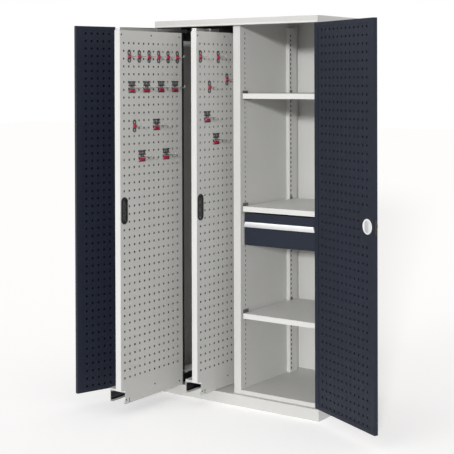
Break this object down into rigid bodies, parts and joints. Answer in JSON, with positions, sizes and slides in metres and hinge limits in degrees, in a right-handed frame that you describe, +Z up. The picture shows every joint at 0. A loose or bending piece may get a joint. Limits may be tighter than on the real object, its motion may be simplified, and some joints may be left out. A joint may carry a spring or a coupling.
{
  "type": "tool cabinet with pegboard doors",
  "caption": "Free-standing steel tool cabinet with perforated double doors, pull-out perforated tool panels on one side, and shelves with a drawer on the other.",
  "frame": {"origin": "middle of the base's footprint on the floor", "axes": "+X to the right of someone who faces the doors, +Y into the cabinet, +Z up"},
  "size_m": [1.5855, 1.07, 1.95],
  "materials": {
    "body_paint": "fine powder coat",
    "shelf_paint": "fine powder coat",
    "strip_paint": "fine powder coat",
    "panel_paint": "fine powder coat",
    "door_paint": "dark textured powder coat",
    "door_sheet_paint": "dark textured powder coat",
    "drawer_paint": "fine powder coat",
    "handle_aluminium": "satin anodised",
    "slide_steel": "zinc plated",
    "pin_steel": "turned",
    "screw_steel": "zinc plated",
    "hook_steel": "plated wire and black base",
    "hook_red": "moulded",
    "black_fitting": "black coated",
    "bush_plastic": "moulded",
    "grip_plastic": "moulded",
    "lock_ring": "moulded",
    "lock_pad_grey": "moulded",
    "lever_metal": "satin cast"
  },
  "bodies": {
    "cabinet": {"top_cover": "body_paint", "base_plinth": "body_paint", "base_crossbar": "body_paint", "side_wall_left": "body_paint", "side_wall_right": "body_paint", "back_panel": "body_paint", "divider_post": "body_paint", "divider_wall": "body_paint", "floor_tray": "body_paint", "shelf_uprights": "body_paint", "shelf_upper": "shelf_paint", "shelf_middle": "shelf_paint", "shelf_lower": "shelf_paint", "shelf_clips": "black_fitting", "drawer_cassette": "body_paint", "drawer_slides_outer": "slide_steel", "pullout_beams": "body_paint", "pullout_slides_outer": "slide_steel", "pullout_top_guides": "black_fitting", "hinge_pins": "pin_steel"},
    "drawer": {"drawer_front": "door_paint", "drawer_box": "drawer_paint", "drawer_handle": "handle_aluminium", "drawer_slides_inner": "slide_steel"},
    "drawer_middle": {"drawer_slides_middle": "slide_steel"},
    "door_left": {"door_left_shell": "door_paint", "door_left_sheet": "door_sheet_paint", "door_left_bushes": "bush_plastic"},
    "door_right": {"door_right_shell": "door_paint", "door_right_sheet": "door_sheet_paint", "door_right_bushes": "bush_plastic", "door_right_lock_case": "slide_steel", "door_right_lock_disc": "lock_ring", "door_right_lock_pad": "lock_pad_grey", "door_right_faceplate": "black_fitting", "door_right_rosette": "lever_metal"},
    "lock_handle": {"lock_spindle": "pin_steel", "lock_lever": "lever_metal"},
    "rod_upper": {"lock_rod_upper": "pin_steel"},
    "rod_lower": {"lock_rod_lower": "pin_steel"},
    "pullout_1": {"pullout_1_frame": "strip_paint", "pullout_1_sheet_right": "panel_paint", "pullout_1_sheet_left": "panel_paint", "pullout_1_grip": "grip_plastic", "pullout_1_carriage": "panel_paint", "pullout_1_inner_rails": "slide_steel", "pullout_1_screws": "screw_steel", "pullout_1_hooks": "hook_steel", "pullout_1_hook_pads": "hook_red"},
    "pullout_1_middle": {"pullout_1_middle_rails": "slide_steel"},
    "pullout_2": {"pullout_2_frame": "strip_paint", "pullout_2_sheet_right": "panel_paint", "pullout_2_sheet_left": "panel_paint", "pullout_2_grip": "grip_plastic", "pullout_2_carriage": "panel_paint", "pullout_2_inner_rails": "slide_steel", "pullout_2_screws": "screw_steel", "pullout_2_hooks": "hook_steel", "pullout_2_hook_pads": "hook_red"},
    "pullout_2_middle": {"pullout_2_middle_rails": "slide_steel"}
  },
  "joints": [
    {"name": "door_left_hinge", "type": "hinge", "parent": "cabinet", "child": "door_left", "pos_m": [-0.49, -0.281, 1], "axis": [0, 0, -1], "range_deg": [-24, 71]},
    {"name": "door_right_hinge", "type": "hinge", "parent": "cabinet", "child": "door_right", "pos_m": [0.49, -0.281, 1], "axis": [0, 0, 1], "range_deg": [-153, 27]},
    {"name": "pullout_1_slide", "type": "slide", "parent": "cabinet", "child": "pullout_1", "axis": [0, -1, 0], "range_m": [-0.52, 0]},
    {"name": "pullout_1_middle_slide", "type": "slide", "parent": "cabinet", "child": "pullout_1_middle", "axis": [0, -1, 0], "range_m": [-0.26, 0]},
    {"name": "pullout_2_slide", "type": "slide", "parent": "cabinet", "child": "pullout_2", "axis": [0, -1, 0], "range_m": [-0.184, 0.336]},
    {"name": "pullout_2_middle_slide", "type": "slide", "parent": "cabinet", "child": "pullout_2_middle", "axis": [0, -1, 0], "range_m": [-0.092, 0.168]},
    {"name": "drawer_slide", "type": "slide", "parent": "cabinet", "child": "drawer", "axis": [0, -1, 0], "range_m": [0, 0.4]},
    {"name": "drawer_middle_slide", "type": "slide", "parent": "cabinet", "child": "drawer_middle", "axis": [0, -1, 0], "range_m": [0, 0.2]},
    {"name": "lock_turn", "type": "hinge", "parent": "door_right", "child": "lock_handle", "pos_m": [0.87937, -0.47939, 0.984], "axis": [0.454, 0.891, 0], "range_deg": [-90, 0]},
    {"name": "rod_upper_slide", "type": "slide", "parent": "door_right", "child": "rod_upper", "axis": [0, 0, 1], "range_m": [0, 0.017]},
    {"name": "rod_lower_slide", "type": "slide", "parent": "door_right", "child": "rod_lower", "axis": [0, 0, -1], "range_m": [0, 0.017]}
  ],
  "couplings": [
    {"joint": "pullout_1_middle_slide", "follows": "pullout_1_slide", "ratio": 0.5},
    {"joint": "pullout_2_middle_slide", "follows": "pullout_2_slide", "ratio": 0.5},
    {"joint": "drawer_middle_slide", "follows": "drawer_slide", "ratio": 0.5},
    {"joint": "rod_upper_slide", "follows": "lock_turn", "m_per_rad": -0.010804},
    {"joint": "rod_lower_slide", "follows": "lock_turn", "m_per_rad": -0.010804}
  ]
}
